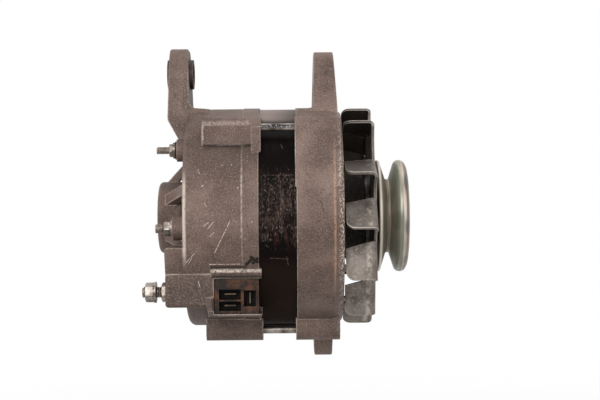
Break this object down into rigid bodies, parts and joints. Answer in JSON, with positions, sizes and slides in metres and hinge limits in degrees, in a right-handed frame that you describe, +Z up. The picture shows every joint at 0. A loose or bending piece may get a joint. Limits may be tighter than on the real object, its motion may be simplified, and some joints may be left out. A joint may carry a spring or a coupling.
{
  "type": "alternator",
  "caption": "Belt-driven alternator with two cast housings, open stator core, claw-pole rotor, outside fan and single V-groove pulley.",
  "frame": {"origin": "centre of the drive end pivot bore, in the middle of its lug", "axes": "+X along the shaft towards the pulley, +Z up from the shaft to the pivot bores, +Y away from the connector"},
  "size_m": [0.1537, 0.1383, 0.1838],
  "materials": {
    "cast_aluminium": "sand cast, brown grey oxide",
    "core_lacquer": "black lacquer, worn",
    "zinc_steel": "zinc plated",
    "fan_steel": "zinc plated sheet",
    "pulley_steel": "zinc plated, turned",
    "dark_steel": "plain steel",
    "bearing_steel": "ground",
    "pole_iron": "lacquered iron",
    "winding_copper": "enamelled wire, varnished",
    "ring_copper": "turned copper",
    "brown_phenolic": "moulded",
    "black_moulding": "moulded",
    "carbon": "pressed graphite",
    "heat_sink": "pressed sheet",
    "dark_insulator": "fibre",
    "tinned_brass": "tinned"
  },
  "bodies": {
    "casing": {"front_housing": "cast_aluminium", "rear_housing": "cast_aluminium", "pivot_bush": "dark_steel", "through_bolts": "zinc_steel", "bearing_retainer": "zinc_steel", "retainer_screws": "zinc_steel", "front_bearing_outer": "bearing_steel", "rear_bearing_outer": "bearing_steel", "stator_core": "core_lacquer", "stator_winding": "winding_copper", "stator_leads": "winding_copper", "brush_holder": "black_moulding", "brush_spring_positive": "zinc_steel", "brush_spring_negative": "zinc_steel", "regulator": "black_moulding", "rectifier_negative_plate": "heat_sink", "rectifier_positive_plate": "heat_sink", "diodes_negative": "dark_steel", "diodes_positive": "dark_steel", "terminal_board": "brown_phenolic", "output_stud": "zinc_steel", "output_stud_insulator": "dark_insulator", "output_sleeve": "zinc_steel", "output_stud_nuts": "zinc_steel", "output_stud_washer": "zinc_steel", "middle_stud": "zinc_steel", "middle_stud_nut": "zinc_steel", "middle_stud_washer": "zinc_steel", "upper_stud": "zinc_steel", "upper_stud_nut": "zinc_steel", "upper_stud_washer": "dark_insulator", "connector_housing": "brown_phenolic", "connector_terminals": "tinned_brass"},
    "rotor": {"shaft": "dark_steel", "shaft_key": "dark_steel", "claw_rear": "pole_iron", "claw_front": "pole_iron", "rotor_core": "pole_iron", "coil_bobbin": "black_moulding", "field_coil": "winding_copper", "slip_ring_inner": "ring_copper", "slip_ring_outer": "ring_copper", "slip_ring_insulator": "black_moulding", "front_bearing_inner": "bearing_steel", "rear_bearing_inner": "bearing_steel", "fan_spacer": "dark_steel", "fan": "fan_steel", "pulley": "pulley_steel", "pulley_washer": "zinc_steel", "pulley_nut": "zinc_steel"},
    "positive_brush": {"brush_positive": "carbon"},
    "negative_brush": {"brush_negative": "carbon"}
  },
  "joints": [
    {"name": "rotor_spin", "type": "hinge", "parent": "casing", "child": "rotor", "pos_m": [-0.0273, 0, -0.0855], "axis": [1, 0, 0], "continuous": true},
    {"name": "positive_brush_slide", "type": "slide", "parent": "casing", "child": "positive_brush", "axis": [0, 0, 1], "range_m": [-0.006, 0], "stiffness_N_per_m": 250, "springref_m": 0.01, "deforming": ["brush_spring_positive"]},
    {"name": "negative_brush_slide", "type": "slide", "parent": "casing", "child": "negative_brush", "axis": [0, 0, 1], "range_m": [-0.006, 0], "stiffness_N_per_m": 250, "springref_m": 0.01, "deforming": ["brush_spring_negative"]}
  ]
}
